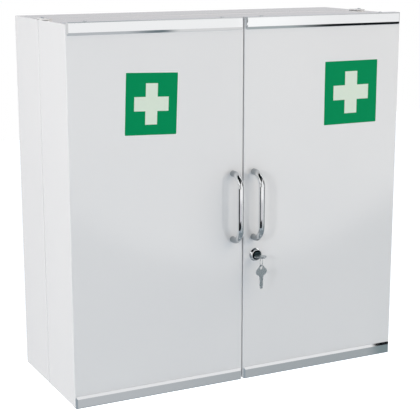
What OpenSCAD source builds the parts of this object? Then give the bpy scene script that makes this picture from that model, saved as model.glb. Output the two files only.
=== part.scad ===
// Lockable wall medicine cabinet: a shallow sheet-steel body with two deep
// box doors, each with its own trays. Origin on the wall plane at the centre
// of the back, +Z up, the doors face -Y. Millimetres.

/* [Cabinet] */
// Width over both doors
cab_w = 700; // [600:10:900]
// Height without the edge trims
cab_h = 700; // [650:10:900]
// Depth of the body on the wall
body_d = 132; // [120:1:180]
// Depth of each box door
door_d = 142.5; // [130:0.5:180]
// Seam between the body and the closed doors
seam_gap = 2.5; // [2.5:0.1:4]
// Gap between the two doors
middle_gap = 2; // [2:0.1:4]

/* [Sheet metal] */
// Thickness of the steel sheet
sheet_t = 1.2; // [0.8:0.1:1.5]
// Outside radius of every fold
fold_r = 2; // [1.8:0.1:3]
// Width of the folded frame that faces the seam
frame_w = 18; // [16:1:22]
// Depth of the return lip behind that frame
lip_d = 8; // [6:1:10]
// Height of the flange round the back panel
back_flange = 14; // [10:1:20]

/* [Shelves and trays] */
// Height of the folded edges of a body shelf
shelf_edge = 14; // [10:1:18]
// Height of the retaining lip of a door tray
tray_lip = 38; // [25:1:50]
// Height of the other edges of a door tray
tray_edge = 12; // [8:1:16]

/* [Hinges] */
// Distance of the pivot from the side and from the seam face of the door
pivot_inset = 6; // [6:0.1:6.5]
// Diameter of the hinge pin
pin_d = 5; // [4:0.1:5]
// Radial clearance of the pin in its bush
pin_play = 0.05; // [0.02:0.01:0.1]
// Width of the cranked hinge strap
strap_w = 18; // [16:1:18]
// Thickness of the hinge strap
strap_t = 2; // [1.5:0.1:2]
// Reach of the strap over the door, from the seam face
strap_reach = 28; // [24:1:34]

/* [Edge trims] */
// Height of the chrome trim's front leg below the edge of the door
trim_h = 20; // [16:1:26]
// How far the front leg stands out of the door
trim_out = 4; // [3:0.1:5]
// Thickness of the leg that lies on the door's edge
trim_cap = 3; // [2.5:0.1:3.5]
// Depth of that leg, from the door's front plane
trim_deep = 20; // [16:1:26]

/* [Handles] */
// Distance between the two feet of a handle
handle_span = 128; // [96:32:160]
// Diameter of the handle's tube
handle_d = 12; // [10:1:14]
// Distance of the bar's axis from the door
handle_out = 32; // [28:1:36]
// Bend radius of the tube
handle_bend = 25; // [20:1:26]
// Distance of each handle from the cabinet's middle plane
handle_x = 22.5; // [20:0.5:30]
// Height of the handles' middle above the cabinet's middle
handle_z = -3; // [-10:1:10]

/* [Lock] */
// Distance of the lock's axis from the cabinet's middle plane
lock_x = 27.5; // [26:0.5:28]
// Height of the lock's axis
lock_z = -103; // [-108:1:-100]
// Diameter of the domed rosette
rosette_d = 26; // [24:1:30]
// Outside diameter of the lock barrel
barrel_d = 19; // [18:0.5:19]
// Diameter of the turning core
core_d = 13; // [12.6:0.1:13]
// Length of the cam from the lock's axis to its tip
cam_len = 42; // [40:1:43]
// Width of the cam
cam_w = 14; // [12:1:14]

/* [Keys] */
// Thickness of a key
key_t = 1.8; // [1.4:0.1:2]
// Width of a key's blade
blade_w = 8; // [7:0.1:8]
// Radius of the key ring, on the middle of its wire
ring_r = 9.5; // [9:0.5:10]
// Diameter of the ring's wire
wire_d = 1.2; // [1:0.1:1.3]

/* [Hidden] */
$fn = 64;
eps = 0.5;
rear_y = -(body_d + seam_gap);        // seam face of the doors
front_y = rear_y - door_d;            // front plane of the doors
top_z = cab_h / 2;
inner_x = middle_gap / 2;             // inner side of the right door
outer_x = cab_w / 2;                  // outer side of the right door
door_w = outer_x - inner_x;
door_mid_x = (inner_x + outer_x) / 2;
mitre_reach = frame_w + 1;
pivot_x = outer_x - pivot_inset;
pivot_y = rear_y - pivot_inset;

shelf_count = 3;                      // in the body, and trays in each door
shelf_pitch = (cab_h - 2 * sheet_t) / (shelf_count + 1);
shelf_gap = 0.5;                      // play of a shelf between the side walls
shelf_front = 2;                      // play between a shelf and the return lips
shelf_back = 0.5;                     // play between a shelf and the back flange
tray_front = 3;                       // play between a tray and the return lips
clip_leg = 12;
clip_t = 1.5;
clip_w = 14;
clip_y = [30, 95];                    // clips behind the wall plane

strap_inset = 2;                      // strap in from the side face
strap_lift = 0.8;                     // strap above the door's edge
strap_tail = 26;                      // strap inside the body, behind the seam
strap_start = 11;                     // where the strap comes out of the body
strap_run = 1;                        // length of the crank beyond its rise
strap_slot_d = 5.8;
strap_slot_back = 0.3;                // slot behind the start of the crank
strap_play = 0.2;
bush_d = 8;
bush_len = 14;
bush_collar_d = 11;
bush_collar_t = 0.6;
hole_play = 0.1;
head_edge = 0.35;                     // straight part of a domed head's height
pin_depth = 13;                       // pin below the edge of the door
pin_head_d = 8;
pin_head_h = 2;

trim_inset = 1.5;                     // trim shorter than the door at each end
trim_corner = trim_out / 2;           // radius of the trim's outer edge
trim_bevel = 4.8;                     // height of the bevel on the lower edge
trim_round = 3.5;                     // corner radius seen from the front
trim_land = 0.8;
trim_end_bevel = 3;
trim_screw_in = 40;
trim_screw_back = 11;
trim_screw_d = 3.5;
trim_screw_len = 4.2;                 // below the door's edge
trim_head_d = 7;
trim_head_h = 1.4;
trim_tail = 2;                        // bevel at the back of the trim's upper leg

handle_foot = handle_out - handle_bend;
handle_bar = handle_span - 2 * handle_bend;
handle_screw_d = 5;
handle_screw_len = 14;
handle_screw_head = 9;
handle_screw_head_h = 3;
handle_screw_play = 3.2;              // free end of the tapped hole and the sheet
handle_hole_play = 0.4;

lock_play = 0.2;
rosette_h = 5.5;
barrel_back = 25;                     // barrel behind the door's front plane
barrel_front = 5;                     // barrel in front of it
rim_at = 3.9;                         // foot of the barrel's domed rim
rim_h = 2.4;
rim_over = 2;                         // rim wider than the barrel
nut_af = 24;
nut_t = 5;
cam_t = 2.5;
cam_gap = 0.7;
cam_square = 8;
cam_boss = 2;                         // boss wider than the cam
cam_back = -barrel_back - cam_gap - cam_t;
cam_screw_d = 4;
cam_screw_len = 9;
cam_washer_d = 13;
cam_washer_t = 1;
cam_head_d = 8;
cam_head_h = 3.2;
core_back = barrel_back + 0.4;
slot_play = 2;
slot_low = cam_w / 2 + 1;
slot_high = 34.5;
keeper_t = 1.5;
keeper_w = 30;
keeper_h = 62;
keeper_y = barrel_back - 13;          // keeper behind the door's front plane
keeper_low = 18;                      // keeper below the lock's axis
core_front = 6.4;                     // face of the core in front of the door
keyway_end = -15;

key_hole_d = 6.8;
key_hole_out = 28;                    // hole of the inserted key from the door
key_shoulder = 17.4;                  // shoulder below the hole
key_cut_start = 24;                   // first cut below the hole
bow_top_r = 5.6;
bow_side_r = 7;
bow_side = [5.5, -7.8];
bow_edge = [[4.3, 3], [11.5, -5], [11.5, -10.6], [5, -16.4]];
// Cuts of the blade: half width, then distance below the hole
key_cuts = [
    [3.1, 26], [3.6, 28], [2.7, 30], [3.7, 32.5], [3.7, 35], [2.6, 37], [3.2, 39], [1.8, 42]
];
ring_slack = 0.9;                     // play of the spare key's hole on the ring
ring_azimuth = 45;                    // the ring's plane, turned from +Y to +X
ring_drop = ring_r / sqrt(2);
ring_x = lock_x - ring_drop * sin(ring_azimuth);
ring_y = front_y - key_hole_out - ring_drop * cos(ring_azimuth);
ring_z = lock_z - ring_drop;
spare_hole_z = ring_z - ring_r - (key_hole_d - wire_d) / 2 + ring_slack;
spare_yaw = 8;

catch_w = 58;
catch_d = 16;
catch_h = 14;
catch_back = 0.4;                     // catch behind the body's seam face
catch_wall = 3;
magnet_w = 20;
magnet_h = 8;
magnet_d = catch_d - catch_wall;
magnet_out = 0.9;                     // magnet in front of the body's seam face
magnet_x = 18;
strike_w = 26;
strike_h = catch_h + frame_w - 4;
strike_over = 1;                      // strike below the catch
strike_t = 1.5;
buffer_x = 62;
buffer_d = 8;
buffer_play = 0.2;
wall_hole_x = 300;
wall_hole_z = 280;
wall_hole_d = 8.5;

// ---------------------------------------------------------------- colours
module painted() color([0.91, 0.91, 0.92]) children();
module chromed() color([0.80, 0.82, 0.84]) children();
module bare_steel() color([0.62, 0.64, 0.66]) children();
module zinc_plated() color([0.70, 0.70, 0.66]) children();
module white_plastic() color([0.93, 0.93, 0.90]) children();
module dark_rubber() color([0.20, 0.20, 0.21]) children();

// ---------------------------------------------------------------- placing
// A drawing in plan and height (Y, Z), drawn out along X from x0 to x1
module along_x(x0, x1)
    translate([x0, 0, 0]) rotate([90, 0, 90]) linear_extrude(x1 - x0) children();

// A drawing in X and Z, drawn out along Y from y0 to y1
module along_y(y0, y1)
    translate([0, y1, 0]) rotate([90, 0, 0]) linear_extrude(y1 - y0) children();

module to_left() mirror([1, 0, 0]) children();
module to_bottom() mirror([0, 0, 1]) children();
module top_and_bottom() { children(); to_bottom() children(); }

// The lock's own frame: Z out of the door along the axis
module at_lock()
    translate([lock_x, front_y, lock_z]) rotate([90, 0, 0]) children();

// ---------------------------------------------------------------- sheet metal
// A fold in section: a quarter ring in the first quadrant
module fold() intersection() {
    difference() {
        circle(fold_r);
        circle(fold_r - sheet_t);
    }
    square(fold_r);
}

// A wall seen in section, with its folded frame and return lip.
// x runs back from the seam face, y runs in from the outer face.
module wall_section(depth) {
    translate([fold_r, 0]) square([depth - fold_r, sheet_t]);
    translate([fold_r, fold_r]) rotate(180) fold();
    translate([0, fold_r]) square([sheet_t, frame_w - 2 * fold_r]);
    translate([fold_r, frame_w - fold_r]) rotate(90) fold();
    translate([fold_r, frame_w - sheet_t]) square([lip_d - fold_r, sheet_t]);
}

// A block whose upright edges and lower edges are rounded as folds are
module folded_block(w, d, h, r) intersection() {
    linear_extrude(h) rounded_rect(w, d, r);
    rotate([90, 0, 90]) translate([0, 0, -w / 2]) linear_extrude(w) bowl_section(d, h, r);
    rotate([90, 0, 0]) translate([0, 0, -d / 2]) linear_extrude(d) bowl_section(w, h, r);
}

module rounded_rect(w, d, r) {
    square([w - 2 * r, d], center = true);
    square([w, d - 2 * r], center = true);
    for (x = [-1, 1], y = [-1, 1])
        translate([x * (w / 2 - r), y * (d / 2 - r)]) circle(r);
}

module bowl_section(w, h, r) {
    translate([-w / 2, r]) square([w, h - r]);
    translate([-w / 2 + r, 0]) square([w - 2 * r, r]);
    for (x = [-1, 1]) translate([x * (w / 2 - r), r]) circle(r);
}

// A folded pan, open upwards, with its outside bottom at z = 0
module pan(w, d, h) difference() {
    folded_block(w, d, h, fold_r);
    translate([0, 0, sheet_t])
        folded_block(w - 2 * sheet_t, d - 2 * sheet_t, h, fold_r - sheet_t);
}

// ---------------------------------------------------------------- body
// One mitred wall of the body, facing up at the given height
module casing_wall(span, rise) intersection() {
    along_x(-span / 2, span / 2)
        translate([-body_d, rise]) mirror([0, 1]) wall_section(body_d);
    along_y(-body_d, 0) polygon([
        [-span / 2, rise], [span / 2, rise],
        [span / 2 - mitre_reach, rise - mitre_reach],
        [-span / 2 + mitre_reach, rise - mitre_reach]
    ]);
}

// Slots that let the two cranked straps out through the sheet
module strap_slots() for (side = [-1, 1])
    translate([
        side * strap_mid_x() - strap_w / 2 - strap_play,
        -body_d + strap_start + strap_slot_back - strap_slot_d,
        top_z - frame_w / 2
    ])
        cube([strap_w + 2 * strap_play, strap_slot_d, frame_w]);

module casing_top() painted() difference() {
    casing_wall(cab_w, top_z);
    strap_slots();
}

module casing_bottom() to_bottom() casing_top();

module casing_right_side() painted() rotate([0, 90, 0]) casing_wall(cab_h, outer_x);

module casing_left_side() to_left() casing_right_side();

module back_panel() painted() difference() {
    rotate([90, 0, 0])
        pan(cab_w - 2 * sheet_t, cab_h - 2 * sheet_t, back_flange);
    for (x = [-1, 1], z = [-1, 1])
        translate([x * wall_hole_x, eps, z * wall_hole_z])
            rotate([90, 0, 0]) cylinder(d = wall_hole_d, h = sheet_t + 2 * eps);
}

function shelf_z(i) = -top_z + sheet_t + i * shelf_pitch;

// A body shelf: a plate with both long edges folded down
module body_shelf(i) painted() {
    shelf_w = cab_w - 2 * sheet_t - 2 * shelf_gap;
    shelf_y0 = -body_d + lip_d + shelf_front;
    shelf_y1 = -back_flange - shelf_back;
    shelf_d = shelf_y1 - shelf_y0;
    along_x(-shelf_w / 2, shelf_w / 2) translate([(shelf_y0 + shelf_y1) / 2, shelf_z(i)])
        mirror([0, 1]) difference() {
            bowl_section(shelf_d, shelf_edge, fold_r);
            translate([0, sheet_t])
                bowl_section(shelf_d - 2 * sheet_t, shelf_edge, fold_r - sheet_t);
        }
}

// Angle clips under both ends of every shelf
module shelf_clips() zinc_plated()
    for (i = [1 : shelf_count], side = [-1, 1], y = clip_y)
        translate([side * (outer_x - sheet_t), -y, shelf_z(i) - sheet_t])
            mirror([side > 0 ? 1 : 0, 0, 0]) rotate([90, 0, 0])
                translate([0, 0, -clip_w / 2]) linear_extrude(clip_w) {
                    translate([0, -clip_leg]) square([clip_t, clip_leg]);
                    translate([0, -clip_t]) square([clip_leg, clip_t]);
                }

// ---------------------------------------------------------------- hinges
function strap_mid_x() = outer_x - strap_inset - strap_w / 2;

// The strap in section, cranked up through the body's sheet and over the door
module strap_section() {
    low = top_z - sheet_t - strap_t;
    high = top_z + strap_lift;
    crank = high - low + strap_run;
    start = -body_d + strap_start;
    polygon([
        [rear_y + strap_tail, low], [start - strap_run, low],
        [start - strap_run - crank, high],
        [rear_y - strap_reach, high], [rear_y - strap_reach, high + strap_t],
        [start - crank, high + strap_t], [start, low + strap_t],
        [rear_y + strap_tail, low + strap_t]
    ]);
}

module strap_plan() {
    nose_r = strap_w / 2;
    nose_y = rear_y - strap_reach + nose_r;
    translate([strap_mid_x() - nose_r, nose_y])
        square([strap_w, rear_y + strap_tail - nose_y]);
    translate([strap_mid_x(), nose_y]) circle(nose_r);
}

module hinge_strap_top_right() painted() difference() {
    intersection() {
        along_x(strap_mid_x() - strap_w / 2, strap_mid_x() + strap_w / 2) strap_section();
        translate([0, 0, top_z - frame_w]) linear_extrude(2 * frame_w) strap_plan();
    }
    translate([pivot_x, pivot_y, top_z])
        cylinder(d = pin_d + hole_play, h = strap_lift + strap_t + eps);
}

module hinge_strap_top_left() to_left() hinge_strap_top_right();
module hinge_strap_bottom_right() to_bottom() hinge_strap_top_right();
module hinge_strap_bottom_left() to_bottom() hinge_strap_top_left();

// A domed head: a short edge with a spherical cap on it
module domed_head(d, h) {
    edge = h * head_edge;
    rise = h - edge;
    sphere_r = (d * d / 4 + rise * rise) / (2 * rise);
    cylinder(d = d, h = edge);
    translate([0, 0, edge]) rotate_extrude() intersection() {
        translate([0, rise - sphere_r]) circle(sphere_r);
        square([d / 2, rise]);
    }
}

module hinge_pins() chromed() for (side = [-1, 1]) top_and_bottom()
    translate([side * pivot_x, pivot_y, top_z]) {
        pin_top = strap_lift + strap_t;
        translate([0, 0, -pin_depth]) cylinder(d = pin_d, h = pin_depth + pin_top);
        translate([0, 0, pin_top]) domed_head(pin_head_d, pin_head_h);
    }

// Flanged bushes pressed into the door's caps
module right_hinge_bushes() white_plastic() top_and_bottom()
    translate([pivot_x, pivot_y, top_z]) difference() {
        union() {
            translate([0, 0, -bush_len]) cylinder(d = bush_d, h = bush_len);
            cylinder(d = bush_collar_d, h = bush_collar_t);
        }
        translate([0, 0, -bush_len - eps])
            cylinder(d = pin_d + 2 * pin_play, h = bush_len + bush_collar_t + 2 * eps);
    }

module left_hinge_bushes() to_left() right_hinge_bushes();

// ---------------------------------------------------------------- catches
module catch_housings() white_plastic() top_and_bottom() {
    top = top_z - frame_w;
    difference() {
        translate([-catch_w / 2, -body_d + catch_back, top - catch_h])
            cube([catch_w, catch_d, catch_h]);
        for (side = [-1, 1])
            translate([side * magnet_x - magnet_w / 2, -body_d, top - catch_h + catch_wall])
                cube([magnet_w, magnet_d, magnet_h]);
    }
}

module catch_magnets() bare_steel() top_and_bottom() for (side = [-1, 1])
    translate([
        side * magnet_x - magnet_w / 2,
        -body_d - magnet_out,
        top_z - frame_w - catch_h + catch_wall
    ])
        cube([magnet_w, magnet_d + magnet_out, magnet_h]);

module door_buffers() dark_rubber() top_and_bottom() for (side = [-1, 1])
    translate([side * buffer_x, -body_d, top_z - frame_w / 2])
        rotate([90, 0, 0]) cylinder(d = buffer_d, h = seam_gap - buffer_play);

// Steel plates that the magnets hold, on the door's frame
module right_strike_plates() zinc_plated() top_and_bottom()
    translate([magnet_x - strike_w / 2, rear_y, top_z - frame_w - catch_h - strike_over])
        cube([strike_w, strike_t, strike_h]);

module left_strike_plates() to_left() right_strike_plates();

// ---------------------------------------------------------------- doors
// The door's outline from above, with its four folded edges
module door_outline() translate([door_mid_x, rear_y - door_d / 2])
    rounded_rect(door_w, door_d, fold_r);

// Front wall and both side walls from above, in one folded sheet
module door_plan() {
    side_d = door_d - fold_r;
    translate([inner_x, rear_y]) rotate(-90) wall_section(side_d);
    translate([outer_x, rear_y]) mirror([1, 0]) rotate(-90) wall_section(side_d);
    translate([inner_x + fold_r, front_y]) square([door_w - 2 * fold_r, sheet_t]);
    translate([inner_x + fold_r, front_y + fold_r]) rotate(180) fold();
    translate([outer_x - fold_r, front_y + fold_r]) rotate(-90) fold();
}

// The mitred space that a door's top cap takes
module cap_space() intersection() {
    along_y(front_y, rear_y) polygon([
        [inner_x, top_z], [outer_x, top_z],
        [outer_x - mitre_reach, top_z - mitre_reach],
        [inner_x + mitre_reach, top_z - mitre_reach]
    ]);
    along_x(inner_x, outer_x) polygon([
        [front_y, top_z], [rear_y, top_z],
        [rear_y, top_z - mitre_reach], [front_y + mitre_reach, top_z - mitre_reach]
    ]);
}

// A wrapped door without lock or handle holes
module door_wrap() difference() {
    translate([0, 0, -top_z]) linear_extrude(cab_h) door_plan();
    cap_space();
    to_bottom() cap_space();
}

module handle_holes() for (side = [-1, 1])
    translate([handle_x, front_y - eps, handle_z + side * handle_span / 2])
        rotate([-90, 0, 0]) cylinder(d = handle_screw_d + handle_hole_play, h = sheet_t + 2 * eps);

// The slot in a door's inner wall that the turning cam passes through
module cam_slot(depth) translate([
        inner_x - eps,
        front_y + barrel_back + cam_gap - slot_play,
        lock_z - slot_low
    ])
    cube([depth + 2 * eps, cam_t + 2 * slot_play, slot_low + slot_high]);

module left_door_shell() painted() to_left() difference() {
    door_wrap();
    handle_holes();
    cam_slot(sheet_t);
}

module right_door_shell() painted() difference() {
    door_wrap();
    handle_holes();
    cam_slot(sheet_t);
    at_lock() translate([0, 0, -sheet_t - eps])
        cylinder(d = barrel_d + lock_play, h = sheet_t + 2 * eps);
}

module door_cap() difference() {
    intersection() {
        along_x(inner_x, outer_x) mirror([1, 0]) translate([-rear_y, top_z])
            mirror([0, 1]) wall_section(door_d);
        cap_space();
        translate([0, 0, top_z - frame_w]) linear_extrude(frame_w) door_outline();
    }
    translate([pivot_x, pivot_y, top_z - 2 * sheet_t])
        cylinder(d = bush_d + hole_play, h = 3 * sheet_t);
    for (x = trim_screw_x())
        translate([x, front_y + trim_screw_back, top_z - 2 * sheet_t])
            cylinder(d = trim_screw_d + hole_play, h = 3 * sheet_t);
}

module right_door_top_cap() painted() door_cap();
module right_door_bottom_cap() painted() to_bottom() door_cap();
module left_door_top_cap() painted() to_left() door_cap();
module left_door_bottom_cap() painted() to_left() to_bottom() door_cap();

// A door tray: a pan whose lip on the open side is taller than its other edges
module door_tray(i) {
    tray_w = door_w - 2 * sheet_t;
    tray_y0 = front_y + sheet_t;
    tray_d = door_d - sheet_t - lip_d - tray_front;
    translate([door_mid_x, tray_y0 + tray_d / 2, shelf_z(i) - sheet_t]) difference() {
        pan(tray_w, tray_d, tray_lip);
        translate([-tray_w / 2 - eps, -tray_d / 2 - eps, tray_edge])
            cube([tray_w + 2 * eps, tray_d - fold_r + eps, tray_lip]);
    }
}

module right_tray(i) painted() door_tray(i);
module left_tray(i) painted() to_left() door_tray(i);

// ---------------------------------------------------------------- trims
function trim_screw_x() = [inner_x + trim_screw_in, outer_x - trim_screw_in];

// The trim in section, from the door's upper front edge at (0, 0).
// x runs out of the door, y runs up.
module trim_section() {
    r = trim_corner;
    polygon([
        [0, 0], [0, -trim_h], [trim_land, -trim_h],
        [trim_out, -trim_h + trim_bevel], [trim_out, trim_cap - r],
        [trim_out - r, trim_cap], [-trim_deep + trim_tail, trim_cap],
        [-trim_deep, trim_cap - trim_tail], [-trim_deep, 0]
    ]);
    translate([trim_out - r, trim_cap - r]) circle(r);
}

// The trim's outline from the front, with round lower corners
module trim_front() {
    x0 = inner_x + trim_inset;
    x1 = outer_x - trim_inset;
    r = trim_round;
    low = top_z - trim_h;
    translate([x0, low + r]) square([x1 - x0, trim_h + trim_cap - r]);
    translate([x0 + r, low]) square([x1 - x0 - 2 * r, r + eps]);
    for (x = [x0 + r, x1 - r]) translate([x, low + r]) circle(r);
}

// The trim from above, with bevelled ends
module trim_plan() {
    x0 = inner_x + trim_inset;
    x1 = outer_x - trim_inset;
    b = trim_end_bevel;
    polygon([
        [x0, front_y + trim_deep], [x0, front_y - trim_land], [x0 + b, front_y - trim_out],
        [x1 - b, front_y - trim_out], [x1, front_y - trim_land], [x1, front_y + trim_deep]
    ]);
}

module edge_trim() difference() {
    intersection() {
        along_x(inner_x, outer_x) translate([front_y, top_z]) mirror([1, 0]) trim_section();
        along_y(front_y - trim_out - eps, front_y + trim_deep + eps) trim_front();
        translate([0, 0, top_z - trim_h - eps]) linear_extrude(trim_h + trim_cap + 2 * eps)
            trim_plan();
    }
    for (x = trim_screw_x())
        translate([x, front_y + trim_screw_back, top_z - eps])
            cylinder(d = trim_screw_d + hole_play, h = trim_cap + 2 * eps);
}

module right_trim_top() chromed() edge_trim();
module right_trim_bottom() chromed() to_bottom() edge_trim();
module left_trim_top() chromed() to_left() edge_trim();
module left_trim_bottom() chromed() to_left() to_bottom() edge_trim();

module right_trim_screws() chromed() top_and_bottom() for (x = trim_screw_x())
    translate([x, front_y + trim_screw_back, top_z]) {
        translate([0, 0, -trim_screw_len])
            cylinder(d = trim_screw_d, h = trim_screw_len + trim_cap);
        translate([0, 0, trim_cap]) domed_head(trim_head_d, trim_head_h);
    }

module left_trim_screws() to_left() right_trim_screws();

// ---------------------------------------------------------------- handles
// Half a bow: foot, bend and half of the bar, above its middle
module half_bow() {
    translate([0, 0, handle_span / 2]) rotate([90, 0, 0])
        cylinder(d = handle_d, h = handle_foot);
    translate([0, -handle_foot, handle_span / 2 - handle_bend]) rotate([0, -90, 180])
        rotate_extrude(angle = 90) translate([handle_bend, 0]) circle(d = handle_d);
    translate([0, -handle_out, 0]) cylinder(d = handle_d, h = handle_bar / 2);
}

module right_handle() chromed() translate([handle_x, front_y, handle_z]) difference() {
    union() {
        half_bow();
        to_bottom() half_bow();
    }
    for (side = [-1, 1])
        translate([0, eps, side * handle_span / 2]) rotate([90, 0, 0])
            cylinder(d = handle_screw_d + hole_play, h = handle_screw_len);
}

module left_handle() to_left() right_handle();

module right_handle_screws() zinc_plated() for (side = [-1, 1])
    translate([handle_x, front_y + sheet_t, handle_z + side * handle_span / 2])
        rotate([-90, 0, 0]) {
            translate([0, 0, -handle_screw_len + handle_screw_play])
                cylinder(d = handle_screw_d, h = handle_screw_len - handle_screw_play);
            domed_head(handle_screw_head, handle_screw_head_h);
        }

module left_handle_screws() to_left() right_handle_screws();

// ---------------------------------------------------------------- lock
module lock_rosette() chromed() at_lock() difference() {
    domed_head(rosette_d, rosette_h);
    translate([0, 0, -eps]) cylinder(d = barrel_d + lock_play, h = rosette_h + 2 * eps);
}

module lock_barrel() chromed() at_lock() difference() {
    union() {
        translate([0, 0, -barrel_back]) cylinder(d = barrel_d, h = barrel_back + barrel_front);
        translate([0, 0, rim_at]) domed_head(barrel_d + rim_over, rim_h);
    }
    translate([0, 0, -barrel_back - eps])
        cylinder(d = core_d + 2 * pin_play, h = barrel_back + rim_at + rim_h + 2 * eps);
}

module lock_nut() zinc_plated() at_lock() translate([0, 0, -sheet_t - nut_t]) difference() {
    cylinder(d = nut_af / cos(30), h = nut_t, $fn = 6);
    translate([0, 0, -eps]) cylinder(d = barrel_d + lock_play, h = nut_t + 2 * eps);
}

module lock_core() chromed() at_lock() difference() {
    union() {
        translate([0, 0, -core_back]) cylinder(d = core_d, h = core_back + core_front);
        translate([-cam_square / 2, -cam_square / 2, cam_back])
            cube([cam_square, cam_square, cam_t + cam_gap]);
    }
    translate([-blade_w / 2 - lock_play, -key_t / 2 - lock_play, keyway_end])
        cube([blade_w + 2 * lock_play, key_t + 2 * lock_play, core_front - keyway_end + eps]);
    translate([0, 0, cam_back - eps])
        cylinder(d = cam_screw_d + hole_play, h = cam_screw_len + 1 + eps);
}

// Points up while the doors are free; turns to the left through both slots
module lock_cam() zinc_plated() at_lock()
    translate([0, 0, cam_back]) linear_extrude(cam_t) difference() {
        union() {
            circle(d = cam_w + cam_boss);
            translate([-cam_w / 2, 0]) square([cam_w, cam_len - cam_w / 2]);
            translate([0, cam_len - cam_w / 2]) circle(d = cam_w);
        }
        square(cam_square + hole_play, center = true);
    }

module cam_screw() zinc_plated() at_lock() translate([0, 0, cam_back]) {
    cylinder(d = cam_screw_d, h = cam_screw_len);
    mirror([0, 0, 1]) {
        cylinder(d = cam_washer_d, h = cam_washer_t);
        translate([0, 0, cam_washer_t]) cylinder(d = cam_head_d, h = cam_head_h, $fn = 6);
    }
}

// Plate that stiffens the left door's wall round the slot
module lock_keeper() zinc_plated() to_left() difference() {
    translate([inner_x + sheet_t, front_y + keeper_y, lock_z - keeper_low])
        cube([keeper_t, keeper_w, keeper_h]);
    cam_slot(sheet_t + keeper_t);
}

// ---------------------------------------------------------------- keys
// One edge of a key, from its bow to its tip
function key_edge(side) = [for (p = concat(
    bow_edge,
    [[5, -key_shoulder], [blade_w / 2, -key_shoulder - 2], [blade_w / 2, -key_cut_start]],
    [for (c = key_cuts) [c[0], -c[1]]]
)) [side * p[0], p[1]]];

// A flat key with the hole of its bow at the origin and its tip towards -y
module flat_key() translate([0, 0, -key_t / 2]) difference() {
    union() {
        cylinder(r = bow_top_r, h = key_t);
        for (side = [-1, 1]) translate([side * bow_side[0], bow_side[1], 0])
            cylinder(r = bow_side_r, h = key_t);
        left_edge = key_edge(-1);
        linear_extrude(key_t) polygon(concat(
            key_edge(1),
            [for (i = [len(left_edge) - 1 : -1 : 0]) left_edge[i]]
        ));
    }
    translate([0, 0, -eps]) cylinder(d = key_hole_d, h = key_t + 2 * eps);
}

module key() bare_steel() translate([lock_x, front_y - key_hole_out, lock_z])
    rotate([180, 0, 0]) flat_key();

module key_ring() bare_steel() translate([ring_x, ring_y, ring_z])
    rotate([90, 0, 90 - ring_azimuth]) rotate_extrude()
        translate([ring_r, 0]) circle(d = wire_d);

module spare_key() bare_steel() translate([ring_x, ring_y, spare_hole_z])
    rotate([0, 0, spare_yaw]) rotate([90, 0, 0]) flat_key();

// ---------------------------------------------------------------- assembly
back_panel();
casing_top();
casing_bottom();
casing_left_side();
casing_right_side();
body_shelf(3);  // shelf_upper
body_shelf(2);  // shelf_middle
body_shelf(1);  // shelf_lower
shelf_clips();
hinge_strap_top_left();
hinge_strap_top_right();
hinge_strap_bottom_left();
hinge_strap_bottom_right();
hinge_pins();
catch_housings();
catch_magnets();
door_buffers();
left_door_shell();
left_door_top_cap();
left_door_bottom_cap();
left_tray(3);  // left_tray_upper
left_tray(2);  // left_tray_middle
left_tray(1);  // left_tray_lower
left_trim_top();
left_trim_bottom();
left_trim_screws();
left_handle();
left_handle_screws();
left_hinge_bushes();
left_strike_plates();
lock_keeper();
right_door_shell();
right_door_top_cap();
right_door_bottom_cap();
right_tray(3);  // right_tray_upper
right_tray(2);  // right_tray_middle
right_tray(1);  // right_tray_lower
right_trim_top();
right_trim_bottom();
right_trim_screws();
right_handle();
right_handle_screws();
right_hinge_bushes();
right_strike_plates();
lock_rosette();
lock_barrel();
lock_nut();
lock_core();
lock_cam();
cam_screw();
key();
key_ring();
spare_key();
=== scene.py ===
import math

import bmesh
import bpy
from mathutils import Matrix, Vector


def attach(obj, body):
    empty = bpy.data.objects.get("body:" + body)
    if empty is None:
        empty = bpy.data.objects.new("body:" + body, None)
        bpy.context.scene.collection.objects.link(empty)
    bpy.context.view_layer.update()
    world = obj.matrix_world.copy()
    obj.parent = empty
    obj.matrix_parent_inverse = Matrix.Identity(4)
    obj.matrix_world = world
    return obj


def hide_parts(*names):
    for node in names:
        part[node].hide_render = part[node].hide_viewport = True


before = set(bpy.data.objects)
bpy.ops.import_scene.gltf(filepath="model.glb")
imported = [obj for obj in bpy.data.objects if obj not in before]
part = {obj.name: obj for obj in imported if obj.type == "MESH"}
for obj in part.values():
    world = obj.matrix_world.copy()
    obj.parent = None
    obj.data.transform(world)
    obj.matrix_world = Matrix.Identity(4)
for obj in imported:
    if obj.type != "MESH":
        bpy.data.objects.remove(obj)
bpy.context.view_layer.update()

scene = bpy.context.scene


# ------------------------------------------------------------------ the studio
# The cabinet hangs in front of a white sweep and is seen from its upper left.
# Lamps and a soft cool sky light it, and polished metal sees a room painted by
# direction alone: a bright wall, black flags, soft boxes and a cool ground.
def add(tree, kind, inputs=None, **settings):
    made = tree.nodes.new(kind)
    for name, value in settings.items():
        setattr(made, name, value)
    for name, value in (inputs or {}).items():
        if isinstance(value, bpy.types.NodeSocket):
            tree.links.new(value, made.inputs[name])
        else:
            made.inputs[name].default_value = value
    return made


def arith(tree, operation, a, b):
    return add(tree, "ShaderNodeMath", {0: a, 1: b}, operation=operation).outputs[0]


def ramp(tree, value, start, end):
    """Rise smoothly from zero at the start to one at the end."""
    made = add(
        tree,
        "ShaderNodeMapRange",
        {"Value": value, "From Min": start, "From Max": end},
        interpolation_type="SMOOTHSTEP",
    )
    return made.outputs["Result"]


def blend_colour(tree, amount, a, b):
    made = add(tree, "ShaderNodeMix", {0: amount, 6: a, 7: b}, data_type="RGBA")
    return made.outputs[2]


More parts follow.
